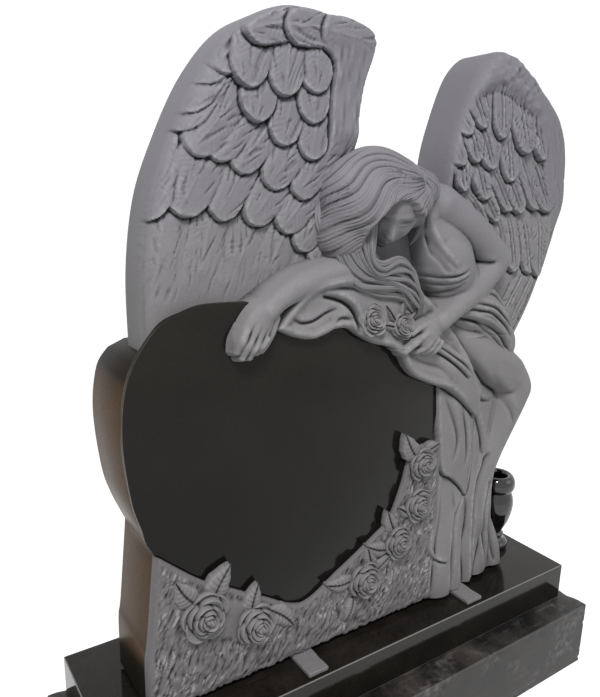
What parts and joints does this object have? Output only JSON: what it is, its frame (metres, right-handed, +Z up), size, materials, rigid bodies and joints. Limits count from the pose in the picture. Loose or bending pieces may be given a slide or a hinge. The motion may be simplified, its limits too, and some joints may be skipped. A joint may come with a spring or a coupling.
{
  "type": "headstone",
  "caption": "Granite headstone carved as an angel bowed over a heart-shaped tablet with roses, on a stepped polished base with a turned flower vase.",
  "frame": {"origin": "centre of the lower base's underside", "axes": "+Z up, the heart and the figure face -Y, +X to the viewer's right"},
  "size_m": [1.606, 0.526, 1.919],
  "materials": {
    "carved_granite": "honed grey granite with a polished black heart and a punched pedestal",
    "polished_granite": "mirror-polished black granite",
    "sawn_granite": "black granite, polished top, dusty sawn sides with pitched edges",
    "pale_strip": "pale grey offcut of stone, sawn"
  },
  "bodies": {
    "root": {"angel_stone": "carved_granite", "upper_base": "polished_granite", "lower_base": "sawn_granite", "flower_vase": "polished_granite", "packing_strip_left": "pale_strip", "packing_strip_right": "pale_strip"}
  },
  "joints": []
}
